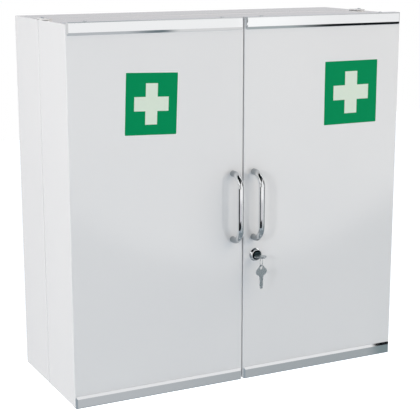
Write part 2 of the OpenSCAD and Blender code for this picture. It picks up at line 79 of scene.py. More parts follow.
def paint(under, over, *edges):
    """Lay a colour over the directions past all edges, each a value, its start and its end."""
    covered = ramp(sky, *edges[0])
    for edge in edges[1:]:
        covered = arith(sky, "MULTIPLY", covered, ramp(sky, *edge))
    return blend_colour(sky, covered, under, over)


camera_place, tilt_down, turn_right = (-1.0525, -2.2135, 0.4842), 12.695, 26.878
camera = bpy.data.cameras.new("camera")
camera.sensor_width = 36
camera.lens = 101.23
eye = bpy.data.objects.new("camera", camera)
eye.location = camera_place
eye.rotation_euler = (math.radians(90 - tilt_down), 0, math.radians(-turn_right))
scene.collection.objects.link(eye)
scene.camera = eye
scene.view_settings.view_transform = "Standard"

world = bpy.data.worlds.new("studio")
scene.world = world
world.use_nodes = True
sky = world.node_tree
sky.nodes.clear()
toward = add(sky, "ShaderNodeSeparateXYZ", {0: add(sky, "ShaderNodeTexCoord").outputs["Generated"]})
right, back, up = toward.outputs
black_flag = (0.008, 0.009, 0.011, 1)
soft_box = (0.98, 0.98, 0.98, 1)

# the bright wall in front: whitest in the middle, duller high up and at the lower left
seen = paint((0.93, 0.93, 0.93, 1), (1.02, 1.02, 1.02, 1), (right, 0.470, 0.480))
seen = paint(seen, (0.90, 0.90, 0.90, 1), (right, 0.49, 0.55))
seen = paint(seen, (0.83, 0.83, 0.835, 1), (up, 0.25, 0.50))
seen = paint(seen, (0.61, 0.61, 0.64, 1), (up, -0.190, -0.212), (right, 0.30, 0.24))

# black above the wall, whose top falls away to the left, with a grey slot in it,
# and a black strip that stands further left
top_high, top_low, fall_from, fall_rate = 0.70, 0.50, 0.30, 0.8
past_fall = arith(sky, "MINIMUM", arith(sky, "SUBTRACT", right, fall_from), 0.0)
wall_top = arith(sky, "ADD", top_high, arith(sky, "MULTIPLY", fall_rate, past_fall))
wall_top = arith(sky, "MAXIMUM", wall_top, top_low)
seen = paint(seen, black_flag, (arith(sky, "SUBTRACT", up, wall_top), -0.01, 0.01))
seen = paint(seen, black_flag, (right, -0.66, -0.64), (right, -0.34, -0.38), (up, -0.14, -0.10))
seen = paint(seen, (0.20, 0.25, 0.265, 1),
             (right, 0.28, 0.30), (right, 0.405, 0.385), (up, 0.70, 0.74))

# black flags at both sides with grey gaps at eye height, and a window on the left
eye_height = (up, -0.14, -0.12), (up, 0.12, 0.09)
flag_at, flag_lean = 0.735, 0.324
flag_edge = arith(sky, "SUBTRACT", flag_at, arith(sky, "MULTIPLY", flag_lean, up))
right_flag = paint(black_flag, (0.10, 0.115, 0.125, 1), (up, -0.05, -0.14))
right_flag = paint(right_flag, (0.42, 0.44, 0.46, 1), *eye_height, (back, -0.30, -0.36))
seen = paint(seen, right_flag, (arith(sky, "SUBTRACT", right, flag_edge), -0.0015, 0.0015))
left_gap = paint((0.34, 0.36, 0.38, 1), (0.70, 0.70, 0.70, 1), (right, -0.89, -0.965))
left_flag = paint(black_flag, left_gap, *eye_height)
left_flag = paint(left_flag, (0.95, 0.95, 0.95, 1), (up, 0.15, 0.19), (up, 0.60, 0.56))
seen = paint(seen, left_flag, (right, -0.78, -0.82))

# a tall soft box on the right, and its duller end straight overhead
seen = paint(seen, soft_box, (right, 0.465, 0.495), (up, 0.17, 0.19), (back, -0.25, -0.23))
box_end = paint((0.42, 0.46, 0.47, 1), soft_box, (right, 0.385, 0.410))
seen = paint(seen, box_end, (up, 0.78, 0.82), (back, -0.24, -0.20), (right, 0.26, 0.30))

# the ground darkens to the right and downwards, and has a band of strips below
deep, pale_ground = (0.20, 0.240, 0.265, 1), (0.49, 0.51, 0.53, 1)
ground = paint((0.31, 0.355, 0.39, 1), pale_ground, (right, 0.05, 0.31))
ground = paint(ground, (0.37, 0.40, 0.417, 1), (right, 0.33, 0.52))
ground = paint(ground, (0.207, 0.259, 0.273, 1), (right, 0.538, 0.550))
ground = paint(ground, deep, (up, -0.43, -0.47))
strips = paint(pale_ground, (0.16, 0.197, 0.213, 1), (right, 0.385, 0.412))
strips = paint(strips, (0.70, 0.70, 0.70, 1), (right, 0.415, 0.430))
strips = paint(strips, (0.39, 0.43, 0.44, 1), (right, 0.474, 0.480))
strips = paint(strips, black_flag, (right, 0.505, 0.540))
ground = paint(ground, strips, (back, -0.34, -0.32), (back, -0.22, -0.24), (up, -0.60, -0.70))

# its far edge sags in the middle, is level at the sides and has a dark kerb
sag_middle, sag_floor, sag_depth, sag_rate, side_level = 0.445, -0.268, 0.07, 3.8, -0.254
off_middle = arith(sky, "SUBTRACT", right, sag_middle)
sag = arith(sky, "MULTIPLY", sag_rate, arith(sky, "MULTIPLY", off_middle, off_middle))
shore = arith(sky, "ADD", arith(sky, "MINIMUM", sag, sag_depth), sag_floor)
at_side = arith(sky, "MAXIMUM", ramp(sky, right, 0.30, 0.22), ramp(sky, right, 0.62, 0.68))
shore = add(sky, "ShaderNodeMix", {0: at_side, 2: shore, 3: side_level}).outputs[0]
seen = paint(seen, ground, (arith(sky, "SUBTRACT", up, shore), 0.004, -0.004))
seen = paint(seen, black_flag, (up, -0.244, -0.248), (up, -0.266, -0.262), (right, 0.15, -0.35))

# behind the cabinet: a grey wall, duller high up, with a dark corner on the right
behind = (back, 0.22, 0.40)
back_wall = paint((0.60, 0.60, 0.625, 1), (0.33, 0.37, 0.40, 1), (up, 0.40, 0.50))
back_wall = paint(back_wall, deep, (up, -0.42, -0.50))
seen = paint(seen, back_wall, behind)
seen = paint(seen, (0.05, 0.075, 0.085, 1), behind, (right, 0.74, 0.78), (up, -0.29, -0.26))

# painted surfaces are lit by a plain cool sky, and the camera sees white
horizon, zenith = (0.479, 0.541, 0.601, 1), (0.323, 0.355, 0.387, 1)
fill = paint(horizon, zenith, (up, 0.0, 1.0))
rays = add(sky, "ShaderNodeLightPath").outputs
mirrored = arith(sky, "MAXIMUM", rays["Is Glossy Ray"], rays["Is Transmission Ray"])
shown = blend_colour(sky, mirrored, fill, seen)
shown = blend_colour(sky, rays["Is Camera Ray"], shown, (1, 1, 1, 1))
backdrop = add(sky, "ShaderNodeBackground", {"Color": shown, "Strength": 1.0})
add(sky, "ShaderNodeOutputWorld", {"Surface": backdrop.outputs[0]})

for name, place, aim, size, watts, warmth in (
    ("side_lamp", (-2.8, -0.35, 0.75), (-0.35, -0.1, 0.05), 1.6, 33.2, 0.22),
    ("key_lamp", (1.5, -1.7, 2.0), (0.1, -0.28, 0.2), 3.4, 40.0, 0.39),
    ("left_lamp", (-1.9, -1.75, 0.5), (0.0, -0.28, 0.0), 0.25, 7.6, 0.0),
    ("right_lamp", (1.1, -1.0, -0.3), (0.25, -0.28, -0.1), 1.2, 1.5, -0.1),
    ("back_lamp", (0.2, 2.6, 0.2), (0.0, 0.0, 0.0), 2.0, 16.0, 0.25),
):
    lamp = bpy.data.lights.new(name, "AREA")
    lamp.shape = "DISK"
    lamp.size = size
    lamp.energy = watts
    lamp.color = (1, 1 - warmth / 2, 1 - warmth)
    fixture = bpy.data.objects.new(name, lamp)
    fixture.location = place
    fixture.rotation_euler = (Vector(aim) - Vector(place)).to_track_quat("-Z", "Y").to_euler()
    fixture.visible_glossy = False
    scene.collection.objects.link(fixture)

floor_half, floor_z, floor_glow = 8.0, -1.25, 0.8
floor_mesh = bpy.data.meshes.new("floor")
floor_mesh.from_pydata(
    [(x * floor_half, y * floor_half, floor_z) for x, y in ((-1, -1), (1, -1), (1, 1), (-1, 1))],
    [], [(0, 1, 2, 3)],
)
floor = bpy.data.objects.new("floor", floor_mesh)
scene.collection.objects.link(floor)
floor.visible_glossy = False
paper = bpy.data.materials.new("white_sweep")
paper.use_nodes = True
tree = paper.node_tree
tree.nodes.clear()
matt = add(tree, "ShaderNodeBsdfDiffuse", {"Color": (0.77, 0.845, 0.905, 1)})
filmed = add(tree, "ShaderNodeLightPath").outputs["Is Camera Ray"]
lift = add(tree, "ShaderNodeEmission", {
    "Color": (1, 1, 1, 1), "Strength": arith(tree, "MULTIPLY", filmed, floor_glow),
})
both = add(tree, "ShaderNodeAddShader", {0: matt.outputs[0], 1: lift.outputs[0]})
add(tree, "ShaderNodeOutputMaterial", {"Surface": both.outputs[0]})
floor_mesh.materials.append(paper)


# ------------------------------------------------------------------ body
# Folded sheet-steel walls and a pressed back panel, welded at their mitres and
# powder coated white: a satin film with a fine orange peel, a little uneven.
def finish_named(name):
    made = bpy.data.materials.new(name)
    made.use_nodes = True
    made.node_tree.nodes.clear()
    return made, made.node_tree


def close_finish(tree, shader):
    add(tree, "ShaderNodeOutputMaterial", {"Surface": shader.outputs[0]})


def speckle(tree, scale, detail=2.0, stretch=(1, 1, 1)):
    place = add(tree, "ShaderNodeTexCoord").outputs["Object"]
    if stretch != (1, 1, 1):
        place = add(tree, "ShaderNodeMapping", {"Vector": place, "Scale": stretch}).outputs[0]
    made = add(tree, "ShaderNodeTexNoise", {"Vector": place, "Scale": scale, "Detail": detail})
    return made.outputs["Fac"]


def spread(tree, value, low, high):
    made = add(tree, "ShaderNodeMapRange", {
        "Value": value, "From Min": 0.3, "From Max": 0.7, "To Min": low, "To Max": high,
    })
    return made.outputs["Result"]


powder_coat, tree = finish_named("powder_coat")
tint = blend_colour(tree, spread(tree, speckle(tree, scale=4.0), 0, 1),
                    (0.850, 0.850, 0.858, 1), (0.866, 0.866, 0.872, 1))
peel = add(tree, "ShaderNodeBump", {
    "Height": speckle(tree, scale=620.0), "Strength": 0.12, "Distance": 0.00006,
})
wave = add(tree, "ShaderNodeBump", {
    "Height": speckle(tree, scale=2.6, detail=1.0), "Strength": 0.35, "Distance": 0.0025,
    "Normal": peel.outputs[0],
})
coat = add(tree, "ShaderNodeBsdfPrincipled", {
    "Base Color": tint, "Roughness": spread(tree, speckle(tree, scale=35.0), 0.070, 0.078),
    "IOR": 1.75, "Specular IOR Level": 0.8,
    "Normal": wave.outputs[0],
})
close_finish(tree, coat)


def dress(finish, *names):
    for name in names:
        for held in part[name].material_slots:
            held.material = finish


dress(powder_coat, "back_panel", "casing_top", "casing_bottom", "casing_left_side",
      "casing_right_side", "shelf_upper", "shelf_middle", "shelf_lower")


# ------------------------------------------------------------------ shelf clips
# Small zinc-plated angles, folded from strip and riveted to the side walls and
# the shelves: one clip is modelled and set at twelve places by a node rule.
half_width, half_height, sheet = 0.35, 0.35, 0.0012
wall_in = half_width - sheet
shelf_pitch = (2 * half_height - 2 * sheet) / 4
clip_rows = (-0.030, -0.095)
clip_leg, clip_t, clip_half = 0.012, 0.0015, 0.007


def shaded(mesh, crease=30):
    """Smooth all but the edges that bend by more than the crease, in degrees."""
    mesh.shade_smooth()
    mesh.set_sharp_from_angle(angle=math.radians(crease))
    return mesh


def mesh_of(name, shape, crease=30):
    bmesh.ops.remove_doubles(shape, verts=shape.verts, dist=1e-6)
    bmesh.ops.recalc_face_normals(shape, faces=shape.faces)
    mesh = bpy.data.meshes.new(name)
    shape.to_mesh(mesh)
    shape.free()
    return shaded(mesh, crease)


def loft(name, rings):
    """A closed skin through outlines with the same number of points."""
    shape = bmesh.new()
    rows = [[shape.verts.new(p) for p in ring] for ring in rings]
    for low, high in zip(rows, rows[1:]):
        for i in range(len(low)):
            j = (i + 1) % len(low)
            shape.faces.new((low[i], low[j], high[j], high[i]))
    shape.faces.new(rows[0][::-1])
    shape.faces.new(rows[-1])
    return mesh_of(name, shape)


def lathe(name, profile, steps=48):
    """A profile of (radius, height) points turned round the z axis."""
    shape = bmesh.new()
    turns = [2 * math.pi * i / steps for i in range(steps)]
    rows = [[shape.verts.new((r * math.cos(t), r * math.sin(t), h)) for t in turns]
            for r, h in profile]
    for low, high in zip(rows, rows[1:]):
        for i in range(steps):
            j = (i + 1) % steps
            shape.faces.new((low[i], low[j], high[j], high[i]))
    return mesh_of(name, shape)


def link(name, mesh):
    made = bpy.data.objects.new(name, mesh)
    scene.collection.objects.link(made)
    return made


def drop(thing):
    bpy.data.objects.remove(thing)


def arc(centre, radius, start, end, steps=6):
    """Points on a circle between two angles in degrees."""
    angles = [math.radians(start + (end - start) * i / steps) for i in range(steps + 1)]
    return [(centre[0] + radius * math.cos(t), centre[1] + radius * math.sin(t)) for t in angles]


def joined(name, meshes):
    shape = bmesh.new()
    for mesh in meshes:
        shape.from_mesh(mesh)
    made = bpy.data.meshes.new(name)
    shape.to_mesh(made)
    shape.free()
    return shaded(made)


def rule_group(name, sockets):
    group = bpy.data.node_groups.new(name, "GeometryNodeTree")
    for label, kind in [("Geometry", "NodeSocketGeometry")] + sockets:
        group.interface.new_socket(label, in_out="INPUT", socket_type=kind)
    group.interface.new_socket("Geometry", in_out="OUTPUT", socket_type="NodeSocketGeometry")
    return group, group.nodes.new("NodeGroupInput").outputs


def close_rule(group, geometry, finish):
    real = add(group, "GeometryNodeRealizeInstances", {"Geometry": geometry})
    done = add(group, "GeometryNodeSetMaterial", {"Geometry": real.outputs[0], "Material": finish})
    add(group, "NodeGroupOutput", {0: done.outputs[0]})


def follow(name, seed, group, values):
    """A plain mesh made by running a node group on a seed mesh."""
    source = link(name + "_seed", seed)
    rule = source.modifiers.new("rule", "NODES")
    rule.node_group = group
    for item in group.interface.items_tree:
        if item.in_out == "INPUT" and item.name in values:
            rule[item.identifier] = values[item.name]
    grown = source.evaluated_get(bpy.context.evaluated_depsgraph_get())
    mesh = bpy.data.meshes.new_from_object(grown)
    drop(source)
    return link(name, mesh)


def places(name, spots):
    """A seed of single points; each carries the turn of what is set on it."""
    mesh = bpy.data.meshes.new(name)
    mesh.from_pydata([point for point, _ in spots], [], [])
    turns = mesh.attributes.new("turn", "FLOAT_VECTOR", "POINT")
    turns.data.foreach_set("vector", [value for _, turn in spots for value in turn])
    return mesh


set_out, given = rule_group("set_out", [("Part", "NodeSocketObject"), ("Finish", "NodeSocketMaterial")])
one = add(set_out, "GeometryNodeObjectInfo", {"Object": given["Part"]})
turn = add(set_out, "GeometryNodeInputNamedAttribute", {"Name": "turn"}, data_type="FLOAT_VECTOR")
spin = add(set_out, "FunctionNodeEulerToRotation", {0: turn.outputs["Attribute"]})
copies = add(set_out, "GeometryNodeInstanceOnPoints", {
    "Points": given["Geometry"], "Instance": one.outputs["Geometry"], "Rotation": spin.outputs[0],
})
close_rule(set_out, copies.outputs[0], given["Finish"])


def settle(piece, body, slot, *nodes):
    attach(piece, body)
    if nodes:
        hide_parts(*nodes)


zinc, tree = finish_named("zinc_plate")
grain = add(tree, "ShaderNodeTexVoronoi", {
    "Vector": add(tree, "ShaderNodeTexCoord").outputs["Object"], "Scale": 260.0,
})
plate = add(tree, "ShaderNodeBsdfPrincipled", {
    "Base Color": blend_colour(tree, grain.outputs["Distance"],
                               (0.60, 0.62, 0.63, 1), (0.70, 0.71, 0.70, 1)),
    "Metallic": 1.0, "Roughness": spread(tree, speckle(tree, scale=90.0), 0.30, 0.42),
})
close_finish(tree, plate)

fold_out, fold_in = 0.0021, 0.0006
strip = ([(clip_t, -clip_leg), (0, -clip_leg)]
         + arc((fold_out, -fold_out), fold_out, 180, 90)
         + [(clip_leg, 0), (clip_leg, -clip_t)]
         + arc((clip_t + fold_in, -clip_t - fold_in), fold_in, 90, 180))
clip_bend = loft("clip_bend", [[(x, y, z) for x, z in strip] for y in (-clip_half, clip_half)])
rivet_r, rivet_h, rivet_at, rivet_sunk = 0.0021, 0.0009, 0.0075, 0.0002
dome = [(rivet_r * math.cos(math.radians(t)), rivet_h * math.sin(math.radians(t)))
        for t in range(0, 91, 15)]
wall_rivet = lathe("wall_rivet", [(0, -rivet_sunk), (rivet_r, -rivet_sunk)] + dome, steps=20)
shelf_rivet = wall_rivet.copy()
wall_rivet.transform(Matrix.Translation((clip_t, 0, -rivet_at)) @ Matrix.Rotation(math.pi / 2, 4, "Y"))
shelf_rivet.transform(Matrix.Translation((rivet_at, 0, -clip_t)) @ Matrix.Rotation(math.pi, 4, "X"))
clip = link("clip", joined("clip", [clip_bend, wall_rivet, shelf_rivet]))
spots = [((side * wall_in, y, -half_height + level * shelf_pitch),
          (0, 0, math.pi if side > 0 else 0))
         for level in (1, 2, 3) for side in (-1, 1) for y in clip_rows]
clips = follow("riveted_clips", places("clip_places", spots), set_out, {"Part": clip, "Finish": zinc})
drop(clip)
settle(clips, "root", "zinc_plated", "shelf_clips")


# ------------------------------------------------------------------ hinges
# Cranked steel straps, coated with the body, come up through the sheet and lie
# over each door; polished pins drop through them into nylon bushes.
def softened(name, node, width, finish, crease=60):
    """A copy of a CAD node with its sharp edges rounded by a small bevel."""
    flat, sharp_over, shortest = math.radians(1), math.radians(25), 2.5 * width
    shape = bmesh.new()
    shape.from_mesh(part[node].data)
    shape.transform(part[node].matrix_world)
    bmesh.ops.remove_doubles(shape, verts=shape.verts, dist=2e-6)
    bmesh.ops.dissolve_limit(shape, angle_limit=flat, verts=shape.verts, edges=shape.edges)
    sharp = [e for e in shape.edges if len(e.link_faces) == 2
             and e.calc_face_angle(0) > sharp_over and e.calc_length() > shortest]
    bmesh.ops.bevel(shape, geom=sharp, offset=width, segments=2, profile=0.5,
                    affect="EDGES", clamp_overlap=True)
    mesh = mesh_of(name, shape, crease)
    mesh.materials.clear()
    mesh.materials.append(finish)
    return flattened(link(name, mesh))


def flattened(piece):
    """Shade the large faces flat and leave the curve to the small ones."""
    piece.modifiers.new("even", "WEIGHTED_NORMAL").keep_sharp = True
    even = piece.evaluated_get(bpy.context.evaluated_depsgraph_get())
    mesh = bpy.data.meshes.new_from_object(even)
    piece.modifiers.clear()
    piece.data = mesh
    return piece


strap_edge = 0.0003
for level in ("top", "bottom"):
    for side in ("left", "right"):
        node = f"hinge_strap_{level}_{side}"
        strap = softened(f"coated_strap_{level}_{side}", node, strap_edge, powder_coat)
        settle(strap, "root", "painted_steel", node)
chrome, tree = finish_named("chrome_plate")
haze = add(tree, "ShaderNodeBump", {
    "Height": speckle(tree, scale=45.0), "Strength": 0.04, "Distance": 0.0001,
})
bright = (0.91, 0.92, 0.93, 1)
shine = add(tree, "ShaderNodeBsdfPrincipled", {
    "Base Color": bright, "Metallic": 1.0,
    "Roughness": spread(tree, speckle(tree, scale=60.0, detail=4.0), 0.012, 0.032),
    "Normal": haze.outputs[0],
})
close_finish(tree, shine)
nylon, tree = finish_named("white_nylon")
moulded = add(tree, "ShaderNodeBsdfPrincipled", {
    "Base Color": blend_colour(tree, speckle(tree, scale=50.0),
                               (0.80, 0.80, 0.77, 1), (0.86, 0.86, 0.84, 1)),
    "Roughness": 0.45,
})
close_finish(tree, moulded)
dress(chrome, "hinge_pins")
dress(nylon, "left_hinge_bushes", "right_hinge_bushes")


# ------------------------------------------------------------------ catches
# Nylon magnet housings under the frame, ground steel magnets that stand a hair
# proud of it, zinc-plated strikes on the doors and soft rubber buffers.
magnet, tree = finish_named("magnet_steel")
ground_steel = add(tree, "ShaderNodeBsdfPrincipled", {
    "Base Color": (0.34, 0.35, 0.37, 1), "Metallic": 1.0,
    "Roughness": spread(tree, speckle(tree, scale=300.0, detail=2.0, stretch=(1, 1, 14)), 0.32, 0.5),
})
close_finish(tree, ground_steel)
rubber, tree = finish_named("buffer_rubber")
soft = add(tree, "ShaderNodeBsdfPrincipled", {
    "Base Color": blend_colour(tree, speckle(tree, scale=400.0),
                               (0.035, 0.035, 0.038, 1), (0.06, 0.06, 0.062, 1)),
    "Roughness": 0.8,
})
close_finish(tree, soft)
dress(nylon, "catch_housings")
dress(magnet, "catch_magnets")
dress(rubber, "door_buffers")
dress(zinc, "left_strike_plates", "right_strike_plates")


# ------------------------------------------------------------------ doors
# Each door is one sheet wrapped round the front and both sides, closed by two
# caps, with three folded trays inside, all in the body's powder coat.
for side in ("left", "right"):
    dress(powder_coat, f"{side}_door_shell", f"{side}_door_top_cap", f"{side}_door_bottom_cap",
          f"{side}_tray_upper", f"{side}_tray_middle", f"{side}_tray_lower")


# ------------------------------------------------------------------ edge trims
# Chromed profiles along the upper and lower front edges, each held by two
# domed screws with a cross recess through the leg that lies on the door.
door_face, seam_half = -0.277, 0.001
trim_edge, trim_crease = 0.00025, 25
for side in ("left", "right"):
    for level in ("top", "bottom"):
        node = f"{side}_trim_{level}"
        trim = softened(f"bright_trim_{side}_{level}", node, trim_edge, chrome, trim_crease)
        settle(trim, f"{side}_door", "chrome", node)


def carve(target, cutter):
    """Cut one solid out of another and leave a plain mesh."""
    knife = target.modifiers.new("knife", "BOOLEAN")
    knife.operation, knife.solver, knife.object = "DIFFERENCE", "EXACT", cutter
    cut = target.evaluated_get(bpy.context.evaluated_depsgraph_get())
    mesh = bpy.data.meshes.new_from_object(cut)
    target.modifiers.clear()
    drop(cutter)
    target.data = shaded(mesh)
    flattened(target)


def plus(span, arm):
    """The outline of a cross, as wide as span, with arms as thick as arm."""
    a, b = arm / 2, span / 2
    return [(-a, -b), (a, -b), (a, -a), (b, -a), (b, a), (a, a),
            (a, b), (-a, b), (-a, a), (-b, a), (-b, -a), (-a, -a)]


def cross_screw(name, head_d, head_h, shank_d, shank_len, pitch):
    """A pan-head screw on the z axis, its head resting on z = 0."""
    crest, root = shank_d / 2, shank_d / 2 - 0.25 * pitch
    point = -shank_len + 0.3 * shank_d
    profile = [(0, -shank_len), (root * 0.7, -shank_len), (root, point)]
    for i in range(int((shank_len - shank_d / 2) / pitch)):
        at = point + (i + 0.25) * pitch
        profile += [(root, at), (crest, at + 0.4 * pitch), (root, at + 0.8 * pitch)]
    head_r, brim, chamfer = head_d / 2, 0.35 * head_h, 0.0002
    turns = [math.radians(t) for t in range(0, 91, 9)]
    swell = [(head_r * math.cos(t), brim + (head_h - brim) * math.sin(t)) for t in turns]
    profile += [(root, 0), (head_r - chamfer, 0), (head_r, chamfer)] + swell
    screw = link(name, lathe(name, profile, steps=40))
    bottom, mouth = plus(0.30 * head_d, 0.12 * head_d), plus(0.56 * head_d, 0.17 * head_d)
    recess = loft("recess", [[(x, y, 0.25 * head_h) for x, y in bottom],
                             [(x, y, 1.05 * head_h) for x, y in mouth]])
    carve(screw, link("recess", recess))
    return screw


trim_screw = cross_screw("trim_screw", head_d=0.007, head_h=0.0014,
                         shank_d=0.0035, shank_len=0.0072, pitch=0.0006)
screw_in, screw_back, screw_z = 0.040, 0.011, 0.353
screw_x = (seam_half + screw_in, half_width - screw_in)
screw_y = door_face + screw_back
for side, sign in (("left", -1), ("right", 1)):
    spots = [((sign * x, screw_y, way * screw_z), (0 if way > 0 else math.pi, 0, 0.5 * x / screw_x[0]))
             for x in screw_x for way in (1, -1)]
    row = follow(f"trim_screw_row_{side}", places("row", spots), set_out,
                 {"Part": trim_screw, "Finish": chrome})
    settle(row, f"{side}_door", "chrome", f"{side}_trim_screws")
drop(trim_screw)


# ------------------------------------------------------------------ handles
# Bow handles of chromed tube, swept by a node rule: a line with two corners is
# rounded to the bend radius and a circle runs along it. Painted shade darkens
# the plate where the tube runs back to the door, most of all at the lower end.
handle_x, handle_z, handle_span = 0.0225, -0.003, 0.128
tube_d, tube_out, tube_bend = 0.012, 0.032, 0.025
# depths towards the door where the painted shade on the tube starts and is full, and how much further
# it reaches at the lower end
tube_shade_from, tube_shade_full, tube_shade_lower_shift = -0.309, -0.297, 0.010
tube_chrome_painted_shade, tree = finish_named("tube_chrome_painted_shade")
spot = add(tree, "ShaderNodeSeparateXYZ", {0: add(tree, "ShaderNodeTexCoord").outputs["Object"]})
upper = ramp(tree, spot.outputs["Z"], -0.01, 0.01)
depth = arith(tree, "SUBTRACT", spot.outputs["Y"], arith(tree, "MULTIPLY", upper, tube_shade_lower_shift))
# painted shade: the chrome is coloured darker towards the door, where the tube's ends sit in shade
tube_painted_shade = ramp(tree, depth, tube_shade_from, tube_shade_full)
tube_shine = add(tree, "ShaderNodeBsdfPrincipled", {
    "Base Color": blend_colour(tree, tube_painted_shade, bright, (0.44, 0.47, 0.49, 1)),
    "Metallic": 1.0, "Roughness": spread(tree, speckle(tree, scale=60.0, detail=4.0), 0.014, 0.035),
})
close_finish(tree, tube_shine)

bow, given = rule_group("bow", [("Bend", "NodeSocketFloat"), ("Radius", "NodeSocketFloat"),
                                ("Finish", "NodeSocketMaterial")])
path = add(bow, "GeometryNodeMeshToCurve", {"Mesh": given["Geometry"]})
rounded = add(bow, "GeometryNodeFilletCurve", {
    "Curve": path.outputs[0], "Radius": given["Bend"], "Count": 24,
}, mode="POLY")
girth = add(bow, "GeometryNodeCurvePrimitiveCircle", {"Resolution": 56, "Radius": given["Radius"]})
tube = add(bow, "GeometryNodeCurveToMesh", {
    "Curve": rounded.outputs[0], "Profile Curve": girth.outputs[0], "Fill Caps": True,
})
close_rule(bow, tube.outputs[0], given["Finish"])

handle_screw = cross_screw("handle_screw", head_d=0.009, head_h=0.003,
                           shank_d=0.005, shank_len=0.0108, pitch=0.0008)
for side, sign in (("left", -1), ("right", 1)):
    x, low, high = sign * handle_x, handle_z - handle_span / 2, handle_z + handle_span / 2
    line = bpy.data.meshes.new("bow_line")
    line.from_pydata([(x, door_face, low), (x, door_face - tube_out, low),
                      (x, door_face - tube_out, high), (x, door_face, high)],
                     [(0, 1), (1, 2), (2, 3)], [])
    handle = follow(f"bow_handle_{side}", line, bow,
                    {"Bend": tube_bend, "Radius": tube_d / 2, "Finish": tube_chrome_painted_shade})
    shaded(handle.data, crease=40)
    settle(handle, f"{side}_door", "chrome", f"{side}_handle")
    spots = [((x, door_face + sheet, z), (-math.pi / 2, 0, 0)) for z in (low, high)]
    pair = follow(f"handle_screw_pair_{side}", places("pair", spots), set_out,
                  {"Part": handle_screw, "Finish": zinc})
    settle(pair, f"{side}_door", "zinc_plated", f"{side}_handle_screws")
drop(handle_screw)


# ------------------------------------------------------------------ lock
# A cam lock: a chromed rosette with a conical flank, a barrel with a dished rim
# and a core, their fronts darkened by painted shade, and a zinc nut, cam and screw behind.
lock_x, lock_z = 0.0275, -0.103
# radius inside which the painted shade lies on the lock front, and where the bright chrome starts
lock_shade_to, bright_from = 0.0091, 0.0094
at_lock = Matrix.Translation((lock_x, door_face, lock_z)) @ Matrix.Rotation(math.pi / 2, 4, "X")
lock_chrome_painted_shade, tree = finish_named("lock_chrome_painted_shade")
flat = add(tree, "ShaderNodeVectorMath", {
    0: add(tree, "ShaderNodeTexCoord").outputs["Object"], 1: (1, 0, 1),
}, operation="MULTIPLY")
radius = add(tree, "ShaderNodeVectorMath", {0: flat.outputs[0], 1: (lock_x, 0, lock_z)},
             operation="DISTANCE")
# painted shade: barrel and core fronts are coloured near black, standing in for the shaded, recessed
# centre of the lock
lock_painted_shade = blend_colour(tree, speckle(tree, scale=500.0),
                         (0.035, 0.055, 0.060, 1), (0.055, 0.078, 0.084, 1))
face = add(tree, "ShaderNodeBsdfPrincipled", {
    "Base Color": blend_colour(tree, ramp(tree, radius.outputs["Value"], lock_shade_to, bright_from),
                               lock_painted_shade, bright),
    "Metallic": 1.0, "Roughness": spread(tree, speckle(tree, scale=300.0), 0.05, 0.10),
})
close_finish(tree, face)
rosette_r, rosette_h, rosette_bore = 0.0130, 0.0036, 0.0097
brim_h, flank_r, lip_r, step = 0.0006, 0.0103, 0.0100, 0.0002
collar = lathe("collar", (
    [(rosette_bore, 0.0), (rosette_r, 0.0)]
    + [(rosette_r - step * i, brim_h + step * i) for i in (0, 1, 2)]
    + [(flank_r, rosette_h - step), (lip_r, rosette_h)]
    + [(rosette_bore, rosette_h), (rosette_bore, 0.0)]), steps=96)
collar.transform(at_lock)
collar.materials.append(chrome)
settle(link("conical_rosette", collar), "right_door", "chrome", "lock_rosette")
core_bore, shank_r, head_r, crown_r = 0.00665, 0.0095, 0.0105, 0.0007
barrel_back, head_seat, skirt_top, crown_h = -0.025, 0.0039, 0.0050, 0.0053
dish_edge, dish_foot, dish_floor = (0.0095, 0.0062), (0.0070, 0.0047), 0.0045
rim = lathe("rim", (
    [(core_bore, barrel_back), (shank_r, barrel_back), (shank_r, head_seat)]
    + [(head_r - step, head_seat), (head_r, head_seat + step), (head_r, skirt_top)]
    + arc((head_r - crown_r, crown_h), crown_r, 0, 90, steps=4)
    + [dish_edge, dish_foot, (core_bore, dish_floor), (core_bore, barrel_back)]), steps=96)
rim.transform(at_lock)
rim.materials.append(lock_chrome_painted_shade)
settle(link("dished_barrel", rim), "right_door", "chrome", "lock_barrel")
lock_edge = 0.0002
core = softened("keyed_core", "lock_core", lock_edge, lock_chrome_painted_shade)
settle(core, "lock_core", "chrome", "lock_core")
cam = softened("plated_cam", "lock_cam", lock_edge, zinc)
settle(cam, "lock_core", "zinc_plated", "lock_cam")
dress(zinc, "lock_nut", "cam_screw", "lock_keeper")


# ------------------------------------------------------------------ keys
# Two stamped keys with a worn nickel plate, each with a milled groove along the
# blade, and a split ring wound from two turns of wire.
nickel, tree = finish_named("worn_nickel")
rub = add(tree, "ShaderNodeBump", {
    "Height": speckle(tree, scale=700.0, detail=2.0, stretch=(1, 1, 9)),
    "Strength": 0.1, "Distance": 0.00005,
})
worn = add(tree, "ShaderNodeBsdfPrincipled", {
    "Base Color": blend_colour(tree, speckle(tree, scale=160.0, detail=4.0),
                               (0.48, 0.520, 0.545, 1), (0.57, 0.610, 0.632, 1)),
    "Metallic": 1.0, "Roughness": spread(tree, speckle(tree, scale=220.0), 0.22, 0.36),
    "Normal": rub.outputs[0],
})
close_finish(tree, worn)
key_t, key_out, key_edge = 0.0018, 0.028, 0.00015
groove_half, groove_deep, groove_clear, groove_flare = 0.0006, 0.00045, 0.0003, 1.6
groove_from, groove_to, run_in, run_out = -0.0185, -0.0420, 0.0020, 0.0010
ring_r, wire_d, ring_turn = 0.0095, 0.0012, math.radians(45)
key_eye = Vector((lock_x, door_face - key_out, lock_z))
fall = ring_r / math.sqrt(2)
ring_eye = key_eye - Vector((fall * math.sin(ring_turn), fall * math.cos(ring_turn), fall))
key_hole, ring_slack, spare_yaw = 0.0068, 0.0009, math.radians(8)
spare_eye = ring_eye - Vector((0, 0, ring_r + (key_hole - wire_d) / 2 - ring_slack))


